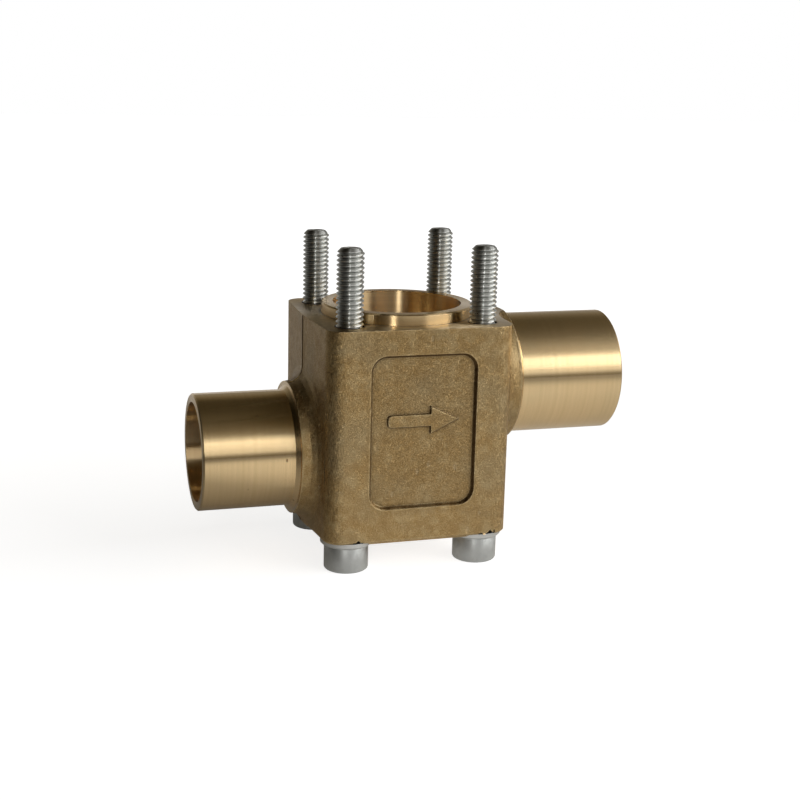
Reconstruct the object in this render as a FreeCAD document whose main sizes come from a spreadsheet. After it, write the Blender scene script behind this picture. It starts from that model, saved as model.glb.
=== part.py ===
import FreeCAD, Part
import Sketcher
import math
import os
import re

# Expansion valve body: one drafted brass forging with two machined tube ends, four cap screws and washers.
# Origin on the main bore axis at the machined joint face, +Z towards the power head, +X the way the flow goes.
# Lengths in millimetres, angles in degrees.

Vector = FreeCAD.Vector

SIZES = [
    # forged block, half of it on each side of the parting plane y = 0
    ("half_width", 21.6),
    ("half_depth", 21.0),
    ("draft_angle", 2.5),
    ("floor_drop", 48.2),
    ("top_stock", 3.0),
    ("corner_radius", 4.0),
    ("floor_chamfer", 0.8),
    # round bosses on the two ends and the flares that blend them into the walls
    ("inlet_drop", 30.0),
    ("outlet_drop", 15.0),
    ("inlet_boss_radius", 14.8),
    ("outlet_boss_radius", 15.1),
    ("flare_radius", 3.4),
    ("flare_turn", 22.5),
    ("flare_root", 6.0),
    ("flare_sink", 0.01),
    ("flare_margin", 0.8),
    ("shoulder_reach", 25.0),
    # turned tube ends and their solder sockets
    ("inlet_tube_radius", 13.0),
    ("outlet_tube_radius", 13.8),
    ("inlet_reach", 46.0),
    ("outlet_reach", 50.2),
    ("tube_root", 0.9),
    ("rim_chamfer", 0.3),
    ("inlet_socket_radius", 11.1),
    ("outlet_socket_radius", 11.1),
    ("socket_length", 20.0),
    # ring round the main bore, the bore and the inner passages
    ("ring_radius", 17.0),
    ("ring_height", 2.4),
    ("bore_radius", 14.4),
    ("shelf_drop", 23.0),
    ("seat_radius", 7.0),
    ("seat_drop", 37.0),
    ("drill_point", 4.0),
    ("inlet_passage_radius", 6.0),
    ("outlet_passage_radius", 7.0),
    # screws, washers and the places where they sit
    ("pattern_half", 15.0),
    ("screw_radius", 3.0),
    ("screw_length", 64.8),
    ("screw_point", 0.9),
    ("head_radius", 4.9),
    ("head_height", 5.9),
    ("head_edge", 0.5),
    ("key_across", 5.0),
    ("key_depth", 3.0),
    ("screw_clearance", 0.2),
    ("washer_radius", 5.75),
    ("washer_thickness", 1.2),
    ("washer_bevel", 0.3),
    ("spot_radius", 6.5),
    ("spot_drop", 46.9),
    # sunk panel with the raised flow arrow on the front face
    ("panel_left", 11.7),
    ("panel_right", 12.2),
    ("panel_top", 5.5),
    ("panel_bottom", 39.5),
    ("panel_corner", 3.6),
    ("panel_depth", 0.8),
    ("panel_slope", 35.0),
    ("arrow_drop", 20.0),
    ("arrow_height", 0.45),
    ("arrow_slope", 25.0),
    ("arrow_tail", 7.8),
    ("arrow_tail_radius", 0.9),
    ("arrow_neck", 1.8),
    ("arrow_tip", 8.4),
    ("arrow_half_shaft", 1.45),
    ("arrow_half_head", 3.2),
    # nicks in the lower front edge, where the spot faces break out over the two front washers
    ("left_nick_place", -13.9),
    ("left_nick_half_width", 0.95),
    ("left_nick_height", 0.85),
    ("right_nick_place", 16.45),
    ("right_nick_half_width", 1.05),
    ("right_nick_height", 1.05),
    ("middle_nick_place", 14.55),
    ("middle_nick_half_width", 0.8),
    ("middle_nick_height", 0.5),
    ("nick_depth", 2.4),
    # how far cutting outlines run past the surface that they cut
    ("overcut", 1.0),
]

doc = FreeCAD.newDocument("expansion_valve_body")
dims = doc.addObject("Spreadsheet::Sheet", "dims")
for row, (alias, number) in enumerate(SIZES, start=1):
    dims.set("A%d" % row, alias)
    dims.set("B%d" % row, str(number))
    dims.setAlias("B%d" % row, alias)
doc.recompute()

NAMES = {alias for alias, number in SIZES}


def rule(text):
    """Turn a rule written with bare size names into an expression on the sheet."""
    def named(match):
        word = match.group(0)
        return "dims." + word if word in NAMES else word
    return re.sub(r"[a-z]+(_[a-z]+)*", named, text)


def size(text):
    """Value of a rule now."""
    return float(dims.evalExpression(text))


def bind(item, prop, text):
    item.setExpression(prop, rule(text))


def new_body(name):
    body = doc.addObject("PartDesign::Body", name)
    body.Label = name
    return body


def new_sketch(body, name, plane, across="0", up="0", out="0"):
    """Sketch on one of the body's own origin planes, shifted in the plane and along its normal."""
    sketch = body.newObject("Sketcher::SketchObject", name)
    support = [item for item in body.Origin.OriginFeatures if item.Role == plane][0]
    sketch.AttachmentSupport = [(support, "")]
    sketch.MapMode = "FlatFace"
    for axis, text in (("x", across), ("y", up), ("z", out)):
        if text != "0":
            bind(sketch, "AttachmentOffset.Base." + axis, text)
    return sketch


def fix_point(sketch, geo, end, text_x, text_y):
    """Hold one end of an edge at a place given by two rules."""
    for kind, text, axis in (("DistanceX", text_x, -2), ("DistanceY", text_y, -1)):
        if text == "0":
            sketch.addConstraint(Sketcher.Constraint("PointOnObject", geo, end, axis))
            continue
        index = sketch.addConstraint(Sketcher.Constraint(kind, geo, end, size(text)))
        sketch.setExpression("Constraints[%d]" % index, rule(text))


def draw_outline(sketch, corners, arcs=None):
    """Closed outline through corners given as pairs of rules.

    Edges are straight, except for quarter arcs: arcs maps the number of an edge to the rules
    of its centre, its radius and the quarter where it begins, counted anticlockwise.
    """
    arcs = arcs or {}
    points = [Vector(size(a), size(b), 0) for a, b in corners]
    first = sketch.GeometryCount
    count = len(points)
    for i in range(count):
        if i in arcs:
            centre_x, centre_y, radius, quarter = arcs[i]
            centre = Vector(size(centre_x), size(centre_y), 0)
            circle = Part.Circle(centre, Vector(0, 0, 1), size(radius))
            begin = quarter * math.pi / 2
            sketch.addGeometry(Part.ArcOfCircle(circle, begin, begin + math.pi / 2), False)
        else:
            sketch.addGeometry(Part.LineSegment(points[i], points[(i + 1) % count]), False)
    for i in range(count):
        after = first + (i + 1) % count
        sketch.addConstraint(Sketcher.Constraint("Coincident", first + i, 2, after, 1))
    for i in range(count):
        fix_point(sketch, first + i, 1, corners[i][0], corners[i][1])
    for i in arcs:
        radius = arcs[i][2]
        index = sketch.addConstraint(Sketcher.Constraint("Radius", first + i, size(radius)))
        sketch.setExpression("Constraints[%d]" % index, rule(radius))


def draw_circle(sketch, text_x, text_y, text_r):
    centre = Vector(size(text_x), size(text_y), 0)
    geo = sketch.addGeometry(Part.Circle(centre, Vector(0, 0, 1), size(text_r)), False)
    fix_point(sketch, geo, 3, text_x, text_y)
    index = sketch.addConstraint(Sketcher.Constraint("Radius", geo, size(text_r)))
    sketch.setExpression("Constraints[%d]" % index, rule(text_r))


def revolve(body, kind, name, sketch, axis):
    """Whole turn of a sketch about one of its own axes."""
    feature = body.newObject(kind, name)
    feature.Profile = sketch
    feature.ReferenceAxis = (sketch, [axis])
    feature.Angle = 360.0
    return feature


def push(body, kind, name, sketch, length, back=False):
    """Pad or pocket of one length, given as a rule."""
    feature = body.newObject(kind, name)
    feature.Profile = sketch
    feature.Type = "Length"
    bind(feature, "Length", length)
    feature.Reversed = back
    return feature


def dress(body, kind, name, edge_test, text):
    """Fillet or chamfer on the edges of the body's last feature that pass a test."""
    doc.recompute()
    base = body.Tip
    picked = ["Edge%d" % (i + 1) for i, edge in enumerate(base.Shape.Edges) if edge_test(edge)]
    if not picked:
        raise RuntimeError("no edge found for " + name)
    feature = body.newObject(kind, name)
    feature.Base = (base, picked)
    bind(feature, "Radius" if kind.endswith("Fillet") else "Size", text)
    return feature


def near(a, b, room=0.01):
    return abs(a - b) < room


# Rear half of the forged block, tapered away from the parting plane
block = new_body("block_half")
wedge = block.newObject("PartDesign::AdditiveWedge", "drafted_block")
bind(wedge, "Xmin", "-half_width")
bind(wedge, "Xmax", "half_width")
bind(wedge, "Ymin", "0")
bind(wedge, "Ymax", "half_depth")
bind(wedge, "Zmin", "-floor_drop")
bind(wedge, "Zmax", "top_stock")
bind(wedge, "X2min", "-half_width + half_depth * tan(draft_angle)")
bind(wedge, "X2max", "half_width - half_depth * tan(draft_angle)")
bind(wedge, "Z2min", "-floor_drop + half_depth * tan(draft_angle)")
bind(wedge, "Z2max", "top_stock")


def is_corner(edge):
    """Upright edge at the outer face."""
    ends = [v.Point for v in edge.Vertexes]
    return all(near(p.y, size("half_depth")) for p in ends) and near(ends[0].x, ends[1].x)


def is_floor_edge(edge):
    """Edge round the floor, away from the parting plane."""
    box = edge.BoundBox
    flat = box.ZMax < -size("floor_drop - half_depth * tan(draft_angle)") + 0.01
    return flat and box.YMax > 0.01


dress(block, "PartDesign::Fillet", "upright_corners", is_corner, "corner_radius")
dress(block, "PartDesign::Chamfer", "floor_edges", is_floor_edge, "floor_chamfer")


# Trumpet-shaped boss roots, square to the tapered walls, each trimmed to a window of the wall
def make_flare(side):
    boss = side + "_boss_radius"
    drop = side + "_drop"
    body = new_body(side + "_flare")
    sketch = new_sketch(body, side + "_flare_profile", "XY_Plane")
    rim = boss + " + flare_radius"
    # the hollow of the flare is four short cones, each turned by flare_turn from the one before
    hollow = []
    for step in range(5):
        turn = "(%d * flare_turn)" % step
        hollow.append((
            "flare_radius * (1 - cos" + turn + ") - flare_sink",
            rim + " - flare_radius * sin" + turn,
        ))
    draw_outline(sketch, [
        ("-flare_root", "0"),
        ("-flare_root", rim),
        *hollow,
        ("flare_radius + flare_root", boss),
        ("flare_radius + flare_root", "0"),
    ])
    revolve(body, "PartDesign::Revolution", side + "_flare_turn", sketch, "H_Axis")
    bind(body, "Placement.Base.x", "half_width")
    bind(body, "Placement.Base.z", "-" + drop)
    bind(body, "Placement.Rotation.Angle", "draft_angle")
    window = doc.addObject("Part::Box", side + "_window")
    bind(window, "Length", "shoulder_reach - half_width + flare_root")
    bind(window, "Width", "half_depth - corner_radius + flare_margin")
    bind(window, "Height", "floor_drop - flare_margin + top_stock")
    bind(window, "Placement.Base.x", "half_width - flare_root")
    bind(window, "Placement.Base.z", "flare_margin - floor_drop")
    trimmed = doc.addObject("Part::MultiCommon", side + "_boss")
    trimmed.Shapes = [body, window]
    trimmed.Refine = False
    return trimmed


outlet_boss = make_flare("outlet")
inlet_boss_right = make_flare("inlet")
inlet_boss = doc.addObject("Part::Mirroring", "inlet_boss_left")
inlet_boss.Source = inlet_boss_right
inlet_boss.Normal = Vector(1, 0, 0)
half = doc.addObject("Part::MultiFuse", "rear_half")
half.Shapes = [block, outlet_boss, inlet_boss]
half.Refine = False
other = doc.addObject("Part::Mirroring", "front_half")
other.Source = half
other.Normal = Vector(0, 1, 0)
forging = doc.addObject("Part::MultiFuse", "forging")
forging.Shapes = [half, other]
forging.Refine = False
doc.recompute()

# The machined and finished valve body
valve = new_body("valve_body")
valve.BaseFeature = forging

# flat joint face, with everything above it taken off
face_sketch = new_sketch(valve, "joint_face_outline", "XY_Plane")
draw_outline(face_sketch, [
    ("-2 * half_width", "-2 * half_width"),
    ("2 * half_width", "-2 * half_width"),
    ("2 * half_width", "2 * half_width"),
    ("-2 * half_width", "2 * half_width"),
])
push(valve, "PartDesign::Pocket", "joint_face", face_sketch, "2 * top_stock", True)

# ring round the mouth of the main bore
ring_sketch = new_sketch(valve, "ring_profile", "XZ_Plane")
draw_outline(ring_sketch, [
    ("0", "-top_stock"),
    ("ring_radius", "-top_stock"),
    ("ring_radius", "ring_height - rim_chamfer"),
    ("ring_radius - rim_chamfer", "ring_height"),
    ("0", "ring_height"),
])
revolve(valve, "PartDesign::Revolution", "ring", ring_sketch, "V_Axis")

# tube ends turned about the port axes, with a small cone at the shoulder
for side, sign in (("inlet", "-"), ("outlet", "")):
    sketch = new_sketch(valve, side + "_tube_profile", "XZ_Plane", up="-" + side + "_drop")
    tube = side + "_tube_radius"
    draw_outline(sketch, [
        (sign + "(shoulder_reach - flare_root)", "0"),
        (sign + "(shoulder_reach - flare_root)", tube + " + tube_root"),
        (sign + "shoulder_reach", tube + " + tube_root"),
        (sign + "(shoulder_reach + tube_root)", tube),
        (sign + "(" + side + "_reach - rim_chamfer)", tube),
        (sign + side + "_reach", tube + " - rim_chamfer"),
        (sign + side + "_reach", "0"),
    ])
    revolve(valve, "PartDesign::Revolution", side + "_tube", sketch, "H_Axis")

# main bore with its shelf and the seat bore below it
bore_sketch = new_sketch(valve, "main_bore_profile", "XZ_Plane")
draw_outline(bore_sketch, [
    ("0", "ring_height + overcut"),
    ("bore_radius", "ring_height + overcut"),
    ("bore_radius", "-shelf_drop"),
    ("seat_radius", "-shelf_drop"),
    ("seat_radius", "-seat_drop"),
    ("0", "-seat_drop - drill_point"),
])
revolve(valve, "PartDesign::Groove", "main_bore", bore_sketch, "V_Axis")


# solder sockets and the passages from them to the main bore
for side, sign, inner in (("inlet", "-", "0"), ("outlet", "", "bore_radius / 2")):
    sketch = new_sketch(valve, side + "_port_profile", "XZ_Plane", up="-" + side + "_drop")
    socket = side + "_socket_radius"
    draw_outline(sketch, [
        (sign + "(" + side + "_reach + overcut)", "0"),
        (sign + "(" + side + "_reach + overcut)", socket),
        (sign + "(" + side + "_reach - socket_length)", socket),
        (sign + "(" + side + "_reach - socket_length)", side + "_passage_radius"),
        (inner, side + "_passage_radius"),
        (inner, "0"),
    ])
    revolve(valve, "PartDesign::Groove", side + "_port", sketch, "H_Axis")


# four clearance holes right through and the spot faces for the washers
def four_circles(name, radius, drop):
    sketch = new_sketch(valve, name, "XY_Plane", out=drop)
    for x_sign in ("-", ""):
        for y_sign in ("-", ""):
            draw_circle(sketch, x_sign + "pattern_half", y_sign + "pattern_half", radius)
    return sketch


hole_sketch = four_circles("screw_hole_circles", "screw_radius + screw_clearance", "0")
push(valve, "PartDesign::Pocket", "screw_holes", hole_sketch, "floor_drop + overcut")
spot_sketch = four_circles("spot_face_circles", "spot_radius", "-spot_drop")
push(valve, "PartDesign::Pocket", "spot_faces", spot_sketch, "floor_drop - spot_drop + overcut")


# Rounded rectangle for the sunk panel
def draw_panel(sketch):
    left, right = "-panel_left", "panel_right"
    low, high, turn = "-panel_bottom", "-panel_top", "panel_corner"
    ends = [
        ((left + " + " + turn, low), (right + " - " + turn, low)),
        ((right, low + " + " + turn), (right, high + " - " + turn)),
        ((right + " - " + turn, high), (left + " + " + turn, high)),
        ((left, high + " - " + turn), (left, low + " + " + turn)),
    ]
    centres = [(1, -1), (1, 1), (-1, 1), (-1, -1)]
    for i in range(4):
        start = [Vector(size(a), size(b), 0) for a, b in ends[i]]
        sketch.addGeometry(Part.LineSegment(start[0], start[1]), False)
        side_x = right if centres[i][0] > 0 else left
        side_y = high if centres[i][1] > 0 else low
        middle = Vector(
            size(side_x) - centres[i][0] * size(turn),
            size(side_y) - centres[i][1] * size(turn),
            0,
        )
        circle = Part.Circle(middle, Vector(0, 0, 1), size(turn))
        begin = (i - 1) * math.pi / 2
        sketch.addGeometry(Part.ArcOfCircle(circle, begin, begin + math.pi / 2), False)
    for i in range(8):
        sketch.addConstraint(Sketcher.Constraint("Coincident", i, 2, (i + 1) % 8, 1))
    for i in range(4):
        for end in (0, 1):
            fix_point(sketch, 2 * i, end + 1, ends[i][end][0], ends[i][end][1])
        index = sketch.addConstraint(Sketcher.Constraint("Radius", 2 * i + 1, size(turn)))
        sketch.setExpression("Constraints[%d]" % index, rule(turn))


panel_sketch = new_sketch(valve, "panel_outline", "XZ_Plane", out="half_depth")
draw_panel(panel_sketch)
panel = push(valve, "PartDesign::Pocket", "panel", panel_sketch, "panel_depth")
bind(panel, "TaperAngle", "-panel_slope")

# flow arrow standing on the panel floor, with sloping sides and a rounded tail
arrow_sketch = new_sketch(
    valve, "arrow_outline", "XZ_Plane", up="-arrow_drop", out="half_depth - panel_depth"
)
round_x = "arrow_tail_radius - arrow_tail"
round_y = "arrow_half_shaft - arrow_tail_radius"
draw_outline(arrow_sketch, [
    ("-arrow_tail", "-(" + round_y + ")"),
    (round_x, "-arrow_half_shaft"),
    ("arrow_neck", "-arrow_half_shaft"),
    ("arrow_neck", "-arrow_half_head"),
    ("arrow_tip", "0"),
    ("arrow_neck", "arrow_half_head"),
    ("arrow_neck", "arrow_half_shaft"),
    (round_x, "arrow_half_shaft"),
    ("-arrow_tail", round_y),
], {
    0: (round_x, "-(" + round_y + ")", "arrow_tail_radius", 2),
    7: (round_x, round_y, "arrow_tail_radius", 1),
})
arrow = push(valve, "PartDesign::Pad", "flow_arrow", arrow_sketch, "arrow_height")
bind(arrow, "TaperAngle", "-arrow_slope")

# nicks over the front washers
nick_sketch = new_sketch(valve, "nick_outlines", "XZ_Plane", out="half_depth")
for nick in ("left_nick", "right_nick", "middle_nick"):
    draw_outline(nick_sketch, [
        (nick + "_place - " + nick + "_half_width", "-spot_drop"),
        (nick + "_place + " + nick + "_half_width", "-spot_drop"),
        (nick + "_place", nick + "_height - spot_drop"),
    ])
push(valve, "PartDesign::Pocket", "nicks", nick_sketch, "nick_depth")


parts = [valve]


# Cap screws, heads down, and the washers under them
def make_screw(name, x_sign, y_sign):
    body = new_body(name)
    profile = new_sketch(body, name + "_profile", "XZ_Plane")
    draw_outline(profile, [
        ("0", "-head_height"),
        ("head_radius - head_edge", "-head_height"),
        ("head_radius", "head_edge - head_height"),
        ("head_radius", "0"),
        ("screw_radius", "0"),
        ("screw_radius", "screw_length - screw_point"),
        ("screw_radius - screw_point", "screw_length"),
        ("0", "screw_length"),
    ])
    revolve(body, "PartDesign::Revolution", name + "_blank", profile, "V_Axis")
    key = new_sketch(body, name + "_key_outline", "XY_Plane", out="-head_height")
    corner = "key_across / sqrt(3)"
    draw_outline(key, [
        (corner, "0"),
        (corner + " / 2", "key_across / 2"),
        ("-" + corner + " / 2", "key_across / 2"),
        ("-" + corner, "0"),
        ("-" + corner + " / 2", "-key_across / 2"),
        (corner + " / 2", "-key_across / 2"),
    ])
    push(body, "PartDesign::Pocket", name + "_key", key, "key_depth", True)
    bind(body, "Placement.Base.x", x_sign + "pattern_half")
    bind(body, "Placement.Base.y", y_sign + "pattern_half")
    bind(body, "Placement.Base.z", "-spot_drop - washer_thickness")
    parts.append(body)


def make_washer(name, x_sign, y_sign):
    body = new_body(name)
    profile = new_sketch(body, name + "_profile", "XZ_Plane")
    draw_outline(profile, [
        ("screw_radius + screw_clearance", "-washer_thickness"),
        ("washer_radius - washer_bevel", "-washer_thickness"),
        ("washer_radius", "washer_bevel - washer_thickness"),
        ("washer_radius", "0"),
        ("screw_radius + screw_clearance", "0"),
    ])
    revolve(body, "PartDesign::Revolution", name + "_blank", profile, "V_Axis")
    bind(body, "Placement.Base.x", x_sign + "pattern_half")
    bind(body, "Placement.Base.y", y_sign + "pattern_half")
    bind(body, "Placement.Base.z", "-spot_drop")
    parts.append(body)


CORNERS = [("front_left", "-", "-"), ("front_right", "", "-"), ("rear_left", "-", ""), ("rear_right", "", "")]
for corner, x_sign, y_sign in CORNERS:
    make_screw("cap_screw_" + corner, x_sign, y_sign)
for corner, x_sign, y_sign in CORNERS:
    make_washer("washer_" + corner, x_sign, y_sign)
doc.recompute()

for item in doc.Objects:
    if "Invalid" in item.State or "Error" in item.State:
        raise RuntimeError(item.Name + " failed: " + item.getStatusString())
os.makedirs("parts", exist_ok=True)
for item in parts:
    shape = item.Shape
    if shape.isNull() or not shape.isValid() or len(shape.Solids) != 1:
        raise RuntimeError(item.Label + " is not one valid solid")
    shape.exportStep("parts/" + item.Label + ".step")
    print(item.Label, round(shape.Volume, 1), shape.BoundBox)
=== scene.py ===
import math

import bmesh
import bpy
from mathutils import Matrix, Vector


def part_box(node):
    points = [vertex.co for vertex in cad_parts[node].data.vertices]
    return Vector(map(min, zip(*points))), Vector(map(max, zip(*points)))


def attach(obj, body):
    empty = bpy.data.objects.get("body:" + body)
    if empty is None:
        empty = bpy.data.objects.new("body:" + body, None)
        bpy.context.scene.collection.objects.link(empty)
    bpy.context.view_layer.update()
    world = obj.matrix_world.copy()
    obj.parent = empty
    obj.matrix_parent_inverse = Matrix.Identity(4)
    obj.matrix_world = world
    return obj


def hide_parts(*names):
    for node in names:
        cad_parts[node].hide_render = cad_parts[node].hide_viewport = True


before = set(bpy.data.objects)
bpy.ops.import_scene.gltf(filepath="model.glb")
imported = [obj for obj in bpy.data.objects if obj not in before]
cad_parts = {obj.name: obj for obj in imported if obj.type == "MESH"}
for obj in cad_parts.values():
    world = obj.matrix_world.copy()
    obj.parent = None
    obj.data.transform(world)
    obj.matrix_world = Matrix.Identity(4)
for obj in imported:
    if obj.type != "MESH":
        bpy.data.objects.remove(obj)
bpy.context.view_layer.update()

MM = 0.001
BODY = "root"

# Sizes of the body, in millimetres
FLOOR_Z = -54.0
SHOULDER_X = 25.0
RING_R, RING_TOP = 17.0, 2.4
BORE_R = 14.4
BORES_END = -42.0
INLET_Z, OUTLET_Z = -30.0, -15.0
SOCKET_R = 11.1
PASSAGE_REACH = 8.0
SPOT_Z, SPOT_R = -46.9, 6.5
PATTERN = 15.0
HOLE_R = 3.2

# Zones of the panel and of the nicks, in millimetres: between which depths the panel's darker skin
# deepens, and where along x each nick is and its half width
PANEL_BACK, PANEL_HALF, PANEL_LOW = -19.9, 12.6, -41.0
DARKER_FROM, DARKEST_FROM = -20.85, -20.3
NICK_TOP, NICK_FRONT, NICK_BACK = -45.9, -20.97, -16.0
NICKS = [(-13.9, 1.1), (15.7, 1.9)]

# Sizes of the screws, in millimetres
CORNERS = ["front_left", "front_right", "rear_left", "rear_right"]
HEAD_R, HEAD_H, HEAD_ROUND, HEAD_BEVEL = 4.9, 5.9, 0.55, 0.15
KEY, KEY_DEPTH, KEY_MOUTH_R, KEY_BEVEL = 5.0, 3.0, 3.05, 0.25
SHANK_R = 3.0
PLAIN_TO = -8.0
THREAD_FROM = -7.9
THREAD_R = SHANK_R - 0.02
THREAD_DEPTH, PITCH = 0.6134, 1.0
FLANKS = 0.88
RUN_IN = 0.6
STUD_TOP, TIP = 16.7, 0.9


class Tree:
    """Short names for adding and linking shader nodes."""

    def __init__(self, tree):
        self.tree = tree
        tree.nodes.clear()

    def add(self, kind, inputs=None, **settings):
        node = self.tree.nodes.new(kind)
        for name, value in settings.items():
            setattr(node, name, value)
        for name, value in (inputs or {}).items():
            self.put(node.inputs[name], value)
        return node

    def put(self, socket, value):
        if isinstance(value, bpy.types.NodeSocket):
            self.tree.links.new(value, socket)
        elif isinstance(value, bpy.types.Node):
            self.tree.links.new(value.outputs[0], socket)
        else:
            socket.default_value = value

    def math(self, operation, a, b=0.0):
        return self.add("ShaderNodeMath", {0: a, 1: b}, operation=operation).outputs[0]

    def above(self, value, limit):
        return self.math("GREATER_THAN", value, limit)

    def below(self, value, limit):
        return self.math("LESS_THAN", value, limit)

    def times(self, first, *others):
        """Product of numbers, so 1 where every mask is 1."""
        for other in others:
            first = self.math("MULTIPLY", first, other)
        return first

    def most(self, first, *others):
        """Largest of the numbers, so 1 where any mask is 1."""
        for other in others:
            first = self.math("MAXIMUM", first, other)
        return first

    def length(self, a, b):
        return self.math("SQRT", self.math("ADD", self.times(a, a), self.times(b, b)))

    def step(self, value, low, high):
        """0 at low, 1 at high, smooth between."""
        node = self.add(
            "ShaderNodeMapRange",
            {"Value": value, "From Min": low, "From Max": high},
            interpolation_type="SMOOTHSTEP",
        )
        return node.outputs[0]

    def span(self, value, low, high, to_low, to_high):
        """to_low at low, to_high at high, straight between and level beyond."""
        node = self.add(
            "ShaderNodeMapRange",
            {"Value": value, "From Min": low, "From Max": high, "To Min": to_low, "To Max": to_high},
        )
        return node.outputs[0]

    def noise(self, vector, scale, detail=2.0, rough=0.5):
        node = self.add("ShaderNodeTexNoise", {
            "Vector": vector, "Scale": scale, "Detail": detail, "Roughness": rough,
        })
        return node.outputs[0]

    def lines(self, place, per_mm, detail=2.0):
        """Streaks that change along one number only."""
        node = self.add(
            "ShaderNodeTexNoise", {"W": place, "Scale": per_mm, "Detail": detail}, noise_dimensions="1D"
        )
        return node.outputs[0]

    def scattered(self, vector, scale):
        """Directions that change at random from place to place."""
        noise = self.add("ShaderNodeTexNoise", {"Vector": vector, "Scale": scale}).outputs["Color"]
        return self.add("ShaderNodeVectorMath", {0: noise, 1: (0.5, 0.5, 0.5)}, operation="SUBTRACT")

    def vector(self, x, y, z):
        return self.add("ShaderNodeCombineXYZ", {0: x, 1: y, 2: z})

    def mixed(self, kind, first_input, output, factor, a, b):
        node = self.add("ShaderNodeMix", data_type=kind)
        self.put(node.inputs[0], factor)
        self.put(node.inputs[first_input], a)
        self.put(node.inputs[first_input + 1], b)
        return node.outputs[output]

    def mix(self, factor, a, b):
        """Mix of two colours."""
        return self.mixed("RGBA", 6, 2, factor, a, b)

    def blend(self, factor, a, b):
        """Mix of two numbers."""
        return self.mixed("FLOAT", 2, 0, factor, a, b)

    def blend_vectors(self, factor, a, b):
        return self.mixed("VECTOR", 4, 1, factor, a, b)

    def millimetres(self):
        """Place on the piece in millimetres: the whole vector, then x, y and z."""
        place = self.add("ShaderNodeTexCoord").outputs["Object"]
        mm = self.add("ShaderNodeVectorMath", {0: place, "Scale": 1000.0}, operation="SCALE").outputs[0]
        return (mm, *self.add("ShaderNodeSeparateXYZ", {0: mm}).outputs)

    def metal(self, color, rough, normal, metallic=1.0):
        shader = self.add("ShaderNodeBsdfPrincipled", {
            "Base Color": color, "Metallic": metallic, "Roughness": rough, "Normal": normal,
        })
        self.add("ShaderNodeOutputMaterial", {"Surface": shader})
        return shader

    def brushed(self, shader, strength, direction):
        """Stretches the highlights across the direction of the marks."""
        self.put(shader.inputs["Anisotropic"], strength)
        self.put(shader.inputs["Anisotropic Rotation"], 0.25)
        self.put(shader.inputs["Tangent"], direction)


def new_material(name):
    material = bpy.data.materials.new(name)
    material.use_nodes = True
    return material, Tree(material.node_tree)


def new_object(name, data):
    thing = bpy.data.objects.new(name, data)
    bpy.context.scene.collection.objects.link(thing)
    return thing


def rgb(r, g, b):
    return (r, g, b, 1.0)


# Colours of the forged skin, from its grain to the painted shade in its corners
SKIN_DEEP, SKIN_HIGH = rgb(0.40, 0.265, 0.109), rgb(0.53, 0.365, 0.167)
SKIN_BROWN, SKIN_PALE = rgb(0.34, 0.205, 0.075), rgb(0.60, 0.46, 0.25)
SKIN_GREYISH = rgb(0.40, 0.315, 0.18)
BRIGHT_GRAIN, DARK_GRAIN = rgb(0.98, 0.80, 0.50), rgb(0.13, 0.08, 0.03)
DENT_RUB, EDGE_RUB = rgb(0.68, 0.53, 0.32), rgb(0.80, 0.62, 0.34)
PANEL_SKIN = rgb(0.25, 0.162, 0.068)
PAINTED_CREASE_SHADE = rgb(0.075, 0.042, 0.015)
# painted shade for the gaps round the screws and in the nicks
GAP_PAINTED_SHADE = rgb(0.012, 0.008, 0.005)

# Colours of the turned metal and of the joint face
CUT_DEEP, CUT_HIGH = rgb(0.82, 0.60, 0.32), rgb(0.87, 0.645, 0.355)
CUT_PIT, CUT_TARNISH = rgb(0.22, 0.12, 0.05), rgb(0.66, 0.54, 0.32)
JOINT_DEEP, JOINT_PALE = rgb(0.54, 0.40, 0.20), rgb(0.77, 0.62, 0.41)
# painted shade in the creases of the joint face
JOINT_PAINTED_SHADE = rgb(0.10, 0.06, 0.02)


class Regions:
    """Distances and masks on the valve body, from the place on it in millimetres."""

    def __init__(self, t, x, y, z):
        self.far = t.math("ABSOLUTE", x)
        self.port_z = t.blend(t.above(x, 0.0), INLET_Z, OUTLET_Z)
        self.from_port = t.length(y, t.math("SUBTRACT", z, self.port_z))
        self.from_bore = t.length(x, y)
        aside = t.math("SUBTRACT", self.far, PATTERN)
        from_screw = t.length(aside, t.math("SUBTRACT", t.math("ABSOLUTE", y), PATTERN))

        # machined: beyond the shoulders and in the passages, on the joint face and ring, in the main
        # bore, on the spot faces
        passage = t.times(t.below(self.from_port, PASSAGE_REACH), t.above(self.from_bore, BORE_R))
        self.tube = t.most(t.above(self.far, SHOULDER_X - 0.02), passage)
        top = t.above(z, -0.02)
        bored = t.times(t.below(self.from_bore, BORE_R + 0.05), t.above(z, BORES_END))
        spot = t.times(t.below(z, SPOT_Z + 0.02), t.below(from_screw, SPOT_R + 0.05))
        self.turned = t.most(self.tube, top, bored, spot)
        self.joint = t.times(top, t.below(z, 0.02))
        self.in_port = t.times(t.below(self.from_port, SOCKET_R + 0.05), self.tube)
        self.in_bore = t.times(bored, t.below(z, RING_TOP - 0.3))
        self.ring_wall = t.times(t.above(z, 0.02), t.above(self.from_bore, RING_R - 0.1))

        panel = t.times(t.below(y, PANEL_BACK), t.below(self.far, PANEL_HALF))
        self.panel = t.times(panel, t.above(z, PANEL_LOW))

        # the gaps round the screws and the two nicks
        self.gap = t.times(t.below(from_screw, HOLE_R + 0.04), t.below(z, -0.1))
        nicked = t.times(t.below(z, NICK_TOP), t.above(y, NICK_FRONT), t.below(y, NICK_BACK))
        for place, half in NICKS:
            beside = t.math("ABSOLUTE", t.math("SUBTRACT", x, place))
            self.gap = t.most(self.gap, t.times(nicked, t.below(beside, half)))


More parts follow.
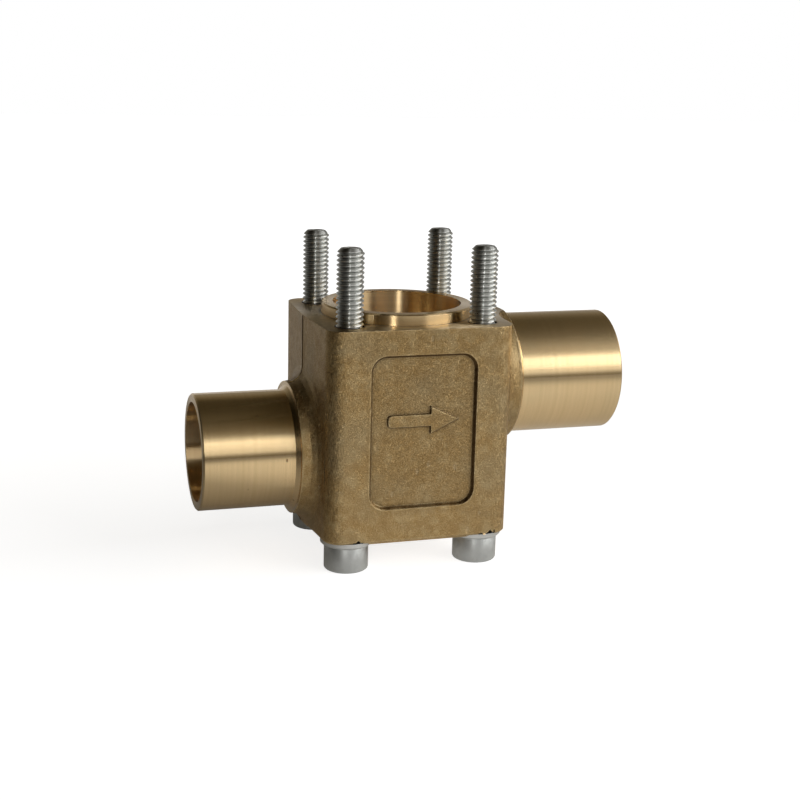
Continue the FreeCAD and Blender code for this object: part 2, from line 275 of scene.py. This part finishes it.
class Marks:
    """Textures that the skin and the turned metal share."""

    def __init__(self, t, mm):
        self.grain = t.noise(mm, 3.0, 2.0, 0.55)
        self.patch = t.noise(mm, 0.42, 4.0, 0.62)
        self.cloud = t.noise(mm, 0.09, 2.0)
        # dents and pits a few millimetres apart
        stretched = t.add("ShaderNodeVectorMath", {0: mm, 1: (1.0, 1.0, 0.55)}, operation="MULTIPLY")
        cells = t.add("ShaderNodeTexVoronoi", {"Vector": stretched, "Scale": 0.35, "Randomness": 1.0})
        chosen = t.add("ShaderNodeSeparateColor", {0: cells.outputs["Color"]})
        middle = cells.outputs["Distance"]
        self.dent = t.times(t.step(middle, 0.2, 0.08), t.step(chosen, 0.5, 0.55))
        self.pit = t.times(t.step(middle, 0.1, 0.05), t.step(chosen, 0.6, 0.55))
        # ambient occlusion, from which shade is painted into the creases
        self.crease = t.add("ShaderNodeAmbientOcclusion", {"Distance": 1.0 * MM}, samples=8).outputs["AO"]


def forged_skin(t, mm, y, region, marks, forged_edge):
    """Blasted grain over warm and greyish clouds, rubbed bright on edges, with painted shade in corners.
    """
    fine = t.noise(mm, 6.0, 1.0)
    skin = t.mix(t.span(marks.grain, 0.34, 0.66, 0.0, 1.0), SKIN_DEEP, SKIN_HIGH)
    skin = t.mix(t.span(marks.patch, 0.32, 0.58, 0.55, 0.0), skin, SKIN_BROWN)
    skin = t.mix(t.span(marks.patch, 0.5, 0.72, 0.0, 0.4), skin, SKIN_PALE)
    skin = t.mix(t.span(marks.cloud, 0.45, 0.62, 0.0, 0.4), skin, SKIN_GREYISH)
    skin = t.mix(t.times(t.step(fine, 0.66, 0.74), 0.4), skin, BRIGHT_GRAIN)
    skin = t.mix(t.times(t.step(fine, 0.34, 0.27), 0.4), skin, DARK_GRAIN)
    skin = t.mix(t.times(marks.dent, t.span(marks.grain, 0.35, 0.65, 0.1, 0.7)), skin, DENT_RUB)
    # the sunk panel has a darker skin than the arrow and the face around it
    sunk = t.times(region.panel, t.span(y, DARKER_FROM, DARKEST_FROM, 0.5, 1.0))
    skin = t.mix(t.times(sunk, 0.27), skin, PANEL_SKIN)

    normal = t.add("ShaderNodeNewGeometry").outputs["Normal"]
    along_edge = t.add("ShaderNodeVectorMath", {0: forged_edge, 1: normal}, operation="DOT_PRODUCT")
    wear = t.step(along_edge.outputs["Value"], 0.99, 0.93)
    skin = t.mix(t.times(wear, t.span(marks.patch, 0.35, 0.65, 0.3, 0.9)), skin, EDGE_RUB)
    # painted shade: darker in the creases, and on the walls of the panel and arrow where they face left or
    # down
    sideways, outward, upward = t.add("ShaderNodeSeparateXYZ", {0: normal}).outputs
    wall = t.times(region.panel, t.step(t.math("ABSOLUTE", outward), 0.97, 0.85))
    shaded = t.most(t.span(sideways, -0.4, 0.4, 0.85, 0.1), t.span(upward, -0.4, 0.4, 0.8, 0.2))
    painted_shade = t.most(t.span(marks.crease, 0.66, 0.98, 0.9, 0.0), t.times(wall, shaded))
    return t.mix(painted_shade, skin, PAINTED_CREASE_SHADE)


def turned_metal(t, region, marks, drift):
    """Clean metal with faint bands and a few pits; the joint face is duller, with painted shade in its
    creases round the screws.
    """
    cut = t.mix(t.span(drift, 0.3, 0.7, 0.0, 1.0), CUT_DEEP, CUT_HIGH)
    cut = t.mix(t.times(marks.pit, 0.75), cut, CUT_PIT)
    cut = t.mix(t.span(marks.cloud, 0.45, 0.65, 0.0, 0.18), cut, CUT_TARNISH)
    joint_skin = t.mix(t.span(marks.patch, 0.35, 0.65, 0.0, 1.0), JOINT_DEEP, JOINT_PALE)
    cut = t.mix(region.joint, cut, joint_skin)
    # painted shade in the creases of the joint face round the screws
    return t.mix(t.times(region.joint, t.span(marks.crease, 0.6, 0.95, 0.8, 0.0)), cut, JOINT_PAINTED_SHADE)


def brass_material():
    material, t = new_material("forged_and_turned_brass")
    mm, x, y, z = t.millimetres()
    region = Regions(t, x, y, z)
    marks = Marks(t, mm)
    turned = region.turned
    forged_edge = t.add(
        "ShaderNodeBevel", {"Radius": t.times(t.blend(region.panel, 0.6, 0.5), MM)}, samples=6
    )
    cut_edge = t.add("ShaderNodeBevel", {"Radius": 0.12 * MM}, samples=4)

    # lathe marks run round the port's axis or the bore's, on the faces as well as the walls
    on_top = t.math("ADD", z, region.from_bore)
    along = t.blend(region.tube, on_top, t.math("ADD", region.far, region.from_port))
    feed = t.lines(along, 4.0)
    drift = t.lines(along, 1.1, 3.0)
    round_bore = t.vector(t.times(y, -1.0), x, 0.0)
    round_port = t.vector(0.0, t.math("SUBTRACT", region.port_z, z), y)
    lathe = t.blend_vectors(region.tube, round_bore, round_port)
    grooves = t.blend_vectors(turned, t.scattered(mm, 2.0), lathe)

    skin = forged_skin(t, mm, y, region, marks, forged_edge)
    color = t.mix(turned, skin, turned_metal(t, region, marks, drift))
    # painted shade in the gaps round the screws and in the nicks
    color = t.mix(region.gap, color, GAP_PAINTED_SHADE)

    polished = t.span(feed, 0.3, 0.7, 0.21, 0.26)
    polished = t.blend(t.most(region.in_bore, region.in_port), polished, 0.3)
    polished = t.blend(region.ring_wall, polished, 0.25)
    polished = t.blend(region.joint, polished, t.span(marks.patch, 0.3, 0.7, 0.32, 0.42))
    rough = t.blend(turned, t.span(marks.grain, 0.3, 0.7, 0.43, 0.34), polished)
    rough = t.most(rough, t.times(region.gap, 0.6))

    forged_height = t.math("ADD", t.times(marks.grain, 1.1), t.times(marks.patch, 1.6))
    forged_height = t.math("SUBTRACT", forged_height, t.times(marks.dent, 1.5))
    cut_height = t.math("ADD", t.times(feed, 0.015), t.times(drift, 0.012))
    cut_height = t.times(cut_height, t.blend(region.in_bore, 1.0, 0.1))
    bump = t.add("ShaderNodeBump", {
        "Strength": 1.0, "Distance": 0.06 * MM,
        "Height": t.blend(turned, forged_height, cut_height),
        "Normal": t.blend_vectors(turned, forged_edge, cut_edge),
    })
    t.brushed(t.metal(color, rough, bump), 1.0, grooves)
    return material


def steel_material(name, base, threaded):
    material, t = new_material(name)
    mm, x, y, z = t.millimetres()
    grain = t.noise(mm, 3.0, 3.0, 0.6)
    dull = t.noise(mm, 0.5, 2.0)
    color = t.mix(t.span(dull, 0.3, 0.7, 0.0, 1.0), rgb(*[0.88 * c for c in base]), rgb(*base))
    rough = t.span(grain, 0.3, 0.7, 0.42, 0.5)
    bump = t.add("ShaderNodeBump", {"Strength": 0.1, "Distance": 0.02 * MM, "Height": grain})
    if not threaded:
        t.put(bump.inputs["Normal"], t.add("ShaderNodeBevel", {"Radius": 0.15 * MM}, samples=4))
        t.metal(color, rough, bump)
        return material

    # the thread is a darker tone than the head, and painted shade darkens the roots of the thread
    thread = t.above(z, PLAIN_TO)
    root = t.times(thread, t.step(t.length(x, y), THREAD_R - 0.3, THREAD_R - 0.55))
    color = t.mix(thread, t.mix(0.28, color, rgb(0, 0, 0)), color)
    color = t.mix(t.times(root, 0.4), color, rgb(0.10, 0.095, 0.08))
    bright = t.times(thread, t.below(z, STUD_TOP - TIP))
    rough = t.blend(bright, rough, t.span(grain, 0.3, 0.7, 0.26, 0.33))
    # the rolled thread has marks round its axis, the head none
    rolled = t.vector(t.times(y, -1.0), x, 0.0)
    marks = t.blend_vectors(thread, t.scattered(mm, 14.0), rolled)
    t.brushed(t.metal(color, rough, bump), 0.9, marks)
    return material


def torn_metal(t, torn, color, rough_low, rough_high, strength, metallic):
    bump = t.add("ShaderNodeBump", {"Strength": strength, "Distance": 0.05 * MM, "Height": torn})
    t.metal(color, t.span(torn, 0.3, 0.7, rough_low, rough_high), bump, metallic)


def ridge_material():
    """Dark, and brighter beyond the block's sides as a painted highlight."""
    material, t = new_material("sheared_brass")
    mm, x = t.millimetres()[:2]
    torn = t.noise(mm, 3.0, 3.0, 0.6)
    # painted highlight on the ridge beyond the block's sides
    painted_highlight = t.step(t.math("ABSOLUTE", x), 21.9, 22.6)
    color = t.mix(painted_highlight, rgb(0.10, 0.065, 0.03), rgb(0.62, 0.45, 0.2))
    color = t.mix(t.span(torn, 0.35, 0.7, 0.0, 0.4), color, rgb(0.30, 0.21, 0.10))
    torn_metal(t, torn, color, 0.35, 0.55, 0.6, 0.9)
    return material


def burr_material():
    material, t = new_material("torn_brass")
    torn = t.noise(t.millimetres()[0], 5.0, 3.0, 0.6)
    color = t.mix(t.span(torn, 0.35, 0.65, 0.0, 1.0), rgb(0.62, 0.42, 0.2), rgb(0.93, 0.72, 0.44))
    torn_metal(t, torn, color, 0.25, 0.4, 0.5, 1.0)
    return material


def dress(node, material):
    node.data.materials.clear()
    node.data.materials.append(material)


dress(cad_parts["valve_body"], brass_material())
screw_steel = steel_material("screw_steel", (0.78, 0.79, 0.76), threaded=True)
washer_steel = steel_material("washer_steel", (0.66, 0.66, 0.63), threaded=False)
for corner in CORNERS:
    dress(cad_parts["washer_" + corner], washer_steel)


# Threaded cap screws
SEGMENTS = 60
ROWS_PER_TURN = 16


def ring(radius_at, z):
    """Points of one ring; radius_at gives the radius at an angle."""
    turn = 2 * math.pi / SEGMENTS
    angles = [i * turn for i in range(SEGMENTS)]
    return [(radius_at(a) * math.cos(a), radius_at(a) * math.sin(a), z) for a in angles]


def hexagon(across):
    def radius_at(angle):
        return across / 2 / math.cos((angle + math.pi / 6) % (math.pi / 3) - math.pi / 6)
    return radius_at


def round_at(radius):
    return lambda angle: radius


def new_mesh(name, points, faces):
    mesh = bpy.data.meshes.new(name)
    mesh.from_pydata(points, [], faces)
    return mesh


def lofted(name, rings, first, last):
    """Closed skin through rings, with a fan at both ends. Rings first to last climb one pitch a turn."""
    def point(k, i):
        if i < SEGMENTS:
            return k * SEGMENTS + i
        if first <= k <= last:
            return min(k + ROWS_PER_TURN, last) * SEGMENTS
        return k * SEGMENTS

    points = [p for one in rings for p in one]
    faces = []
    for k in range(len(rings) - 1):
        for i in range(SEGMENTS):
            faces.append((point(k, i), point(k, i + 1), point(k + 1, i + 1), point(k + 1, i)))
    for k, forward in ((0, False), (len(rings) - 1, True)):
        centre = len(points)
        points.append((0.0, 0.0, rings[k][0][2]))
        for i in range(SEGMENTS):
            edge = (k * SEGMENTS + i, k * SEGMENTS + (i + 1) % SEGMENTS)
            faces.append((*edge, centre) if forward else (*reversed(edge), centre))
    mesh = new_mesh(name, [tuple(MM * c for c in p) for p in points], faces)
    shape = bmesh.new()
    shape.from_mesh(mesh)
    bmesh.ops.remove_doubles(shape, verts=shape.verts, dist=1e-6)
    bmesh.ops.dissolve_degenerate(shape, edges=shape.edges, dist=1e-7)
    shape.to_mesh(mesh)
    shape.free()
    mesh.polygons.foreach_set("use_smooth", [True] * len(mesh.polygons))
    mesh.set_sharp_from_angle(angle=math.radians(48))
    mesh.validate()
    return new_object(name, mesh)


def head_rings(bottom):
    """Rings from the bottom of the key pocket, out round the head and up the plain shank."""
    under = bottom + HEAD_H
    rings = [
        ring(hexagon(KEY - 1.5), bottom + KEY_DEPTH),
        ring(hexagon(KEY), bottom + KEY_DEPTH),
        ring(hexagon(KEY), bottom + KEY_BEVEL),
        ring(round_at(KEY_MOUTH_R), bottom),
    ]
    corner_steps = 6
    for step in range(corner_steps):
        a = math.pi / 2 * step / (corner_steps - 1)
        radius = HEAD_R - HEAD_ROUND + HEAD_ROUND * math.sin(a)
        rings.append(ring(round_at(radius), bottom + HEAD_ROUND * (1 - math.cos(a))))
    rings += [
        ring(round_at(HEAD_R), under - HEAD_BEVEL),
        ring(round_at(HEAD_R - HEAD_BEVEL), under),
        ring(round_at(SHANK_R), under),
        ring(round_at(SHANK_R), PLAIN_TO),
    ]
    return rings


def thread_rings(top):
    """Rows of the thread, which runs in below and ends in a cone at the tip."""
    rings = []
    rows = math.ceil((top - THREAD_FROM) / PITCH * ROWS_PER_TURN)
    for k in range(-ROWS_PER_TURN, rows + 1):
        # broad, slightly pointed crest and narrow root
        rise = min(1.0, (1.0 - abs(2 * (k / ROWS_PER_TURN % 1.0) - 1.0)) / FLANKS)
        cut = THREAD_DEPTH * (1.0 - (math.sin(math.pi / 2 * rise) + rise) / 2)
        row = []
        for i in range(SEGMENTS):
            z = THREAD_FROM + PITCH * (k / ROWS_PER_TURN + i / SEGMENTS)
            z = min(top, max(THREAD_FROM, z))
            radius = THREAD_R - cut * min(1.0, (z - THREAD_FROM) / RUN_IN)
            radius = min(radius, THREAD_R - max(0.0, z - (top - TIP)))
            turn = 2 * math.pi * i / SEGMENTS
            row.append((radius * math.cos(turn), radius * math.sin(turn), z))
        rings.append(row)
    return rings


for corner in CORNERS:
    node = "cap_screw_" + corner
    low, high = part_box(node)
    head = head_rings(low.z / MM)
    rings = head + thread_rings(high.z / MM)
    screw = lofted(node + "_threaded", rings, len(head), len(rings) - 1)
    screw.location = ((low.x + high.x) / 2, (low.y + high.y) / 2, 0.0)
    screw.data.materials.append(screw_steel)
    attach(screw, BODY)
    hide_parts(node)


# Section of the trimmed flash on the parting line: places across the line and out of the skin, in
# millimetres
RIDGE = [(-0.30, -0.10), (-0.16, 0.05), (-0.06, 0.13), (0.06, 0.13), (0.16, 0.05), (0.30, -0.10)]

# The parting line is found by rays from all round, which start this far from the middle in millimetres
RAYS = 1440
RAY_FROM = 80.0


def on_forging(x, z):
    """Whether a place in the plane y = 0 is on the outer skin, not machined and not in a hole."""
    port_z = OUTLET_Z if x > 0 else INLET_Z
    beside_port = abs(z - port_z) > SOCKET_R + 0.5
    outside = abs(x) > BORE_R + 3.0 or z < BORES_END
    return beside_port and outside and abs(x) < SHOULDER_X - 0.05 and z < -0.05


def outline_at_parting():
    """Runs of (place, outward direction) on the forging in the plane y = 0, found on the CAD mesh."""
    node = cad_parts["valve_body"]
    middle = Vector((0.0, 1e-6, -24.0 * MM))
    runs, run = [], []
    for k in range(RAYS + 1):
        a = 2 * math.pi * k / RAYS + math.pi / 2
        out = Vector((math.cos(a), 0.0, math.sin(a)))
        hit, place, normal = node.ray_cast(middle + out * (RAY_FROM * MM), -out)[:3]
        if hit and on_forging(place.x / MM, place.z / MM):
            normal.y = 0.0
            run.append((place.copy(), normal.normalized()))
        elif run:
            runs.append(run)
            run = []
    if run:
        runs.append(run)
    return [one for one in runs if len(one) > 8]


def flash_ridge():
    points, faces = [], []
    count = len(RIDGE)
    for run in outline_at_parting():
        first = len(points)
        for place, normal in run:
            for across, out in RIDGE:
                points.append(place + normal * (out * MM) + Vector((0, across * MM, 0)))
        for k in range(len(run) - 1):
            for i in range(count):
                j = (i + 1) % count
                a, b = first + k * count, first + (k + 1) * count
                faces.append((a + i, b + i, b + j, a + j))
        last = first + (len(run) - 1) * count
        faces.append([first + i for i in range(count)])
        faces.append([last + i for i in reversed(range(count))])
    mesh = new_mesh("flash_ridge", points, faces)
    mesh.polygons.foreach_set("use_smooth", [True] * len(mesh.polygons))
    mesh.validate()
    return new_object("flash_ridge", mesh)


# Sliver of metal left across the nick over the front right washer, in millimetres
BURR_START, BURR_END = Vector((14.9, -20.75, -46.95)), Vector((16.6, -20.8, -45.45))
BURR_THICK = 0.12
BURR_ROWS = 9


def burr():
    across = Vector((0.66, 0.0, 0.75)).cross(Vector((0, 1, 0))).normalized()
    points, faces = [], []
    for k in range(BURR_ROWS):
        f = k / (BURR_ROWS - 1)
        middle = BURR_START.lerp(BURR_END, f) + Vector((0, -0.10 * math.sin(math.pi * f), 0))
        half = 0.07 + 0.15 * math.sin(math.pi * min(1.0, 0.25 + 0.75 * f)) ** 0.7
        twist = Vector((0, 0.12 * math.cos(2.2 * f), 0))
        for side, depth in ((-1, 0.0), (1, 0.0), (1, BURR_THICK), (-1, BURR_THICK)):
            points.append((middle + (across * half + twist) * side + Vector((0, depth, 0))) * MM)
    for k in range(BURR_ROWS - 1):
        for i in range(4):
            j = (i + 1) % 4
            faces.append((4 * k + i, 4 * k + j, 4 * k + 4 + j, 4 * k + 4 + i))
    faces += [(3, 2, 1, 0), tuple(4 * BURR_ROWS - 4 + i for i in range(4))]
    mesh = new_mesh("burr", points, faces)
    mesh.validate()
    return new_object("burr", mesh)


for piece, material in [(flash_ridge(), ridge_material()), (burr(), burr_material())]:
    piece.data.materials.append(material)
    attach(piece, BODY)


# Painted glow of the floor as the metal sees it, with painted shadow to the left of and under the part:
# from behind the part round by its left, front and right to behind it again, at four distances from its
# axis in millimetres
GLOW_TURNS = [0.0, 0.125, 0.25, 0.35, 0.42, 0.5, 0.625, 0.75, 0.875, 1.0]
FLOOR_GLOW = {
    30: [0.10, 0.04, 0.04, 0.12, 0.33, 0.42, 0.24, 0.12, 0.2, 0.10],
    55: [0.07, 0.02, 0.0, 0.13, 0.43, 0.50, 0.32, 0.13, 0.2, 0.07],
    95: [0.08, 0.03, 0.0, 0.0, 0.40, 0.56, 0.38, 0.13, 0.22, 0.08],
    280: [0.50, 0.33, 0.0, 0.0, 0.06, 0.165, 0.35, 0.253, 0.2, 0.50],
}
FLOOR_HALF = 2.0

# Brightness of the studio. The angle lies in the upright plane: 0 is the horizon in front of the part,
# 90 overhead and 180 the horizon behind it. Each row is for one place from the left (-1) to the right (1).
STUDIO_ANGLES = [0, 5, 10, 17, 24, 29, 34, 42, 54, 72, 100, 130, 155, 180]
STUDIO = {
    -0.7: [0.0, 0.01, 0.02, 0.03, 0.035, 0.05, 0.03, 0.015, 0.005, 0.0, 0.0, 0.0, 0.046, 0.097],
    0.0: [0.041, 0.25, 0.45, 0.64, 0.78, 1.2, 0.72, 0.25, 0.09, 0.06, 0.035, 0.02, 0.2, 0.226],
    0.35: [0.12, 0.44, 0.85, 0.72, 0.52, 0.42, 0.36, 0.23, 0.18, 0.09, 0.05, 0.079, 0.22, 0.25],
    0.75: [0.2, 0.71, 1.4, 1.65, 1.45, 1.55, 1.2, 1.1, 0.9, 0.66, 0.42, 0.25, 0.25, 0.234],
}
BACKDROP_IN_METAL = 0.35
BRIGHTEST = 4.0

# Name, azimuth and elevation in degrees, width and height in metres, and radiance
LAMPS = [
    ("key_lamp", 50, 24, 2.0, 1.1, 2.3),
    ("side_lamp", 84, 26, 1.4, 1.2, 2.6),
    ("front_strip", -21, 18, 0.3, 1.3, 8.6),
]
LAMP_DISTANCE = 3.0

# Where the photograph was taken from: place in metres, turn in radians, lens in millimetres
CAMERA_PLACE = (-0.0939, -0.3013, 0.05715)
CAMERA_YAW, CAMERA_PITCH, CAMERA_ROLL = 0.3062, 0.2410, 0.0252
CAMERA_LENS, CAMERA_SENSOR = 64.104, 36.0


def brightness_ramp(t, position, places, levels):
    """Levels between 0 and BRIGHTEST at places between 0 and 1."""
    ramp = t.add("ShaderNodeValToRGB", {"Fac": position})
    elements = ramp.color_ramp.elements
    elements.remove(elements[-1])
    for i, (place, level) in enumerate(zip(places, levels)):
        element = elements[0] if i == 0 else elements.new(place)
        element.position = place
        element.color = rgb(level / BRIGHTEST, level / BRIGHTEST, level / BRIGHTEST)
    return t.times(ramp.outputs[0], BRIGHTEST)


def tents(t, value, centres):
    """One weight for each centre: 1 there, 0 at its neighbours, and the weights add up to 1."""
    weights = []
    for i, centre in enumerate(centres):
        weight = None
        if i > 0:
            weight = t.span(value, centres[i - 1], centre, 0.0, 1.0)
        if i < len(centres) - 1:
            falling = t.span(value, centre, centres[i + 1], 1.0, 0.0)
            weight = falling if weight is None else t.math("MINIMUM", weight, falling)
        weights.append(weight)
    return weights


def brightness_map(t, rows, row_value, position, places):
    """Brightness between the rows of a table, which are centred on their keys."""
    level = 0.0
    for weight, levels in zip(tents(t, row_value, list(rows)), rows.values()):
        level = t.math("ADD", level, t.times(weight, brightness_ramp(t, position, places, levels)))
    return level


def flat_floor():
    z = FLOOR_Z * MM
    signs = [(-1, -1), (1, -1), (1, 1), (-1, 1)]
    corners = [(FLOOR_HALF * side, FLOOR_HALF * depth, z) for side, depth in signs]
    floor = new_object("floor", new_mesh("floor", corners, [(0, 1, 2, 3)]))
    material, t = new_material("pale_floor")
    x, y = t.millimetres()[1:3]
    away = t.length(x, y)
    # white to the eye; metal shows it at the weaker level that the photograph's tubes show
    path = t.add("ShaderNodeLightPath")
    seen = t.most(path.outputs["Is Camera Ray"], path.outputs["Is Transmission Ray"])
    mirrored = path.outputs["Is Glossy Ray"]
    # painted shade on the floor for the metal and for bounced light: darker to the left of the part, where
    # its shadow falls, and far from it
    left = t.span(x, -110.0, -15.0, 0.3, 1.0)
    pale = t.blend(seen, t.times(left, t.span(away, 150.0, 420.0, 0.8, 0.2)), 0.8)
    paper = t.add("ShaderNodeBsdfDiffuse", {
        "Color": t.add("ShaderNodeCombineColor", {0: pale, 1: pale, 2: pale}),
    })
    # direction from the part: 0 and 1 behind it, 0.25 on its left, 0.5 in front, 0.75 on its right
    turn = t.math("DIVIDE", t.math("ARCTAN2", t.times(x, -1.0), y), 2 * math.pi)
    turn = t.math("ADD", turn, t.below(turn, 0.0))
    # painted glow for the metal, dim to the left of and under the part as painted shadow
    near = t.times(mirrored, brightness_map(t, FLOOR_GLOW, away, turn, GLOW_TURNS))
    strength = t.blend(seen, near, t.span(away, 120.0, 600.0, 0.78, 1.0))
    glow = t.add("ShaderNodeEmission", {"Color": rgb(1, 1, 1), "Strength": strength})
    both = t.add("ShaderNodeAddShader", {0: paper, 1: glow})
    t.add("ShaderNodeOutputMaterial", {"Surface": both})
    floor.data.materials.append(material)


def studio_world():
    world = bpy.data.worlds.new("studio")
    world.use_nodes = True
    bpy.context.scene.world = world
    t = Tree(world.node_tree)
    way = t.add("ShaderNodeTexCoord").outputs["Generated"]
    x, y, z = t.add("ShaderNodeSeparateXYZ", {0: way}).outputs
    angle = t.math("DIVIDE", t.math("ARCTAN2", z, t.times(y, -1.0)), math.pi)
    level = brightness_map(t, STUDIO, x, angle, [degrees / 180 for degrees in STUDIO_ANGLES])
    # the white background that the eye sees shows in the metal too, near the horizon behind the part
    path = t.add("ShaderNodeLightPath")
    seen = t.most(path.outputs["Is Camera Ray"], path.outputs["Is Transmission Ray"])
    behind = t.times(t.step(y, -0.1, 0.4), t.step(z, 0.35, 0.05))
    white = t.most(seen, t.times(path.outputs["Is Glossy Ray"], behind, BACKDROP_IN_METAL))
    warm = t.mix(t.step(t.math("ADD", level, white), 0.02, 0.4), rgb(1.0, 0.84, 0.52), rgb(1, 1, 1))
    back = t.add("ShaderNodeBackground", {"Color": warm, "Strength": t.blend(white, level, 1.0)})
    t.add("ShaderNodeOutputWorld", {"Surface": back})


def soft_lamp(name, azimuth, elevation, width, height, radiance):
    """Rectangular lamp aimed at the part. Azimuth 0 stands in front of it and 90 to its right."""
    a, e = math.radians(azimuth), math.radians(elevation)
    way = Vector((math.sin(a) * math.cos(e), -math.cos(a) * math.cos(e), math.sin(e)))
    data = bpy.data.lights.new(name, "AREA")
    data.shape = "RECTANGLE"
    data.size = width
    data.size_y = height
    data.energy = radiance * math.pi * width * height
    lamp = new_object(name, data)
    lamp.location = Vector((0, 0, -0.02)) + way * LAMP_DISTANCE
    lamp.rotation_euler = (-way).to_track_quat("-Z", "Y").to_euler()


def photo_camera():
    """Camera that stands where the photograph was taken."""
    level = math.cos(CAMERA_PITCH)
    right = Vector((math.cos(CAMERA_YAW), -math.sin(CAMERA_YAW), 0))
    ahead = Vector((math.sin(CAMERA_YAW) * level, math.cos(CAMERA_YAW) * level, -math.sin(CAMERA_PITCH)))
    up = right.cross(ahead)
    across = math.cos(CAMERA_ROLL) * right + math.sin(CAMERA_ROLL) * up
    along = -math.sin(CAMERA_ROLL) * right + math.cos(CAMERA_ROLL) * up
    data = bpy.data.cameras.new("photo_camera")
    data.sensor_width = CAMERA_SENSOR
    data.lens = CAMERA_LENS
    data.clip_start = 0.01
    camera = new_object("photo_camera", data)
    turn = Matrix((across, along, -ahead)).transposed()
    camera.matrix_world = Matrix.Translation(CAMERA_PLACE) @ turn.to_4x4()
    bpy.context.scene.camera = camera


flat_floor()
studio_world()
for lamp in LAMPS:
    soft_lamp(*lamp)
photo_camera()
bpy.context.scene.view_settings.view_transform = "Standard"
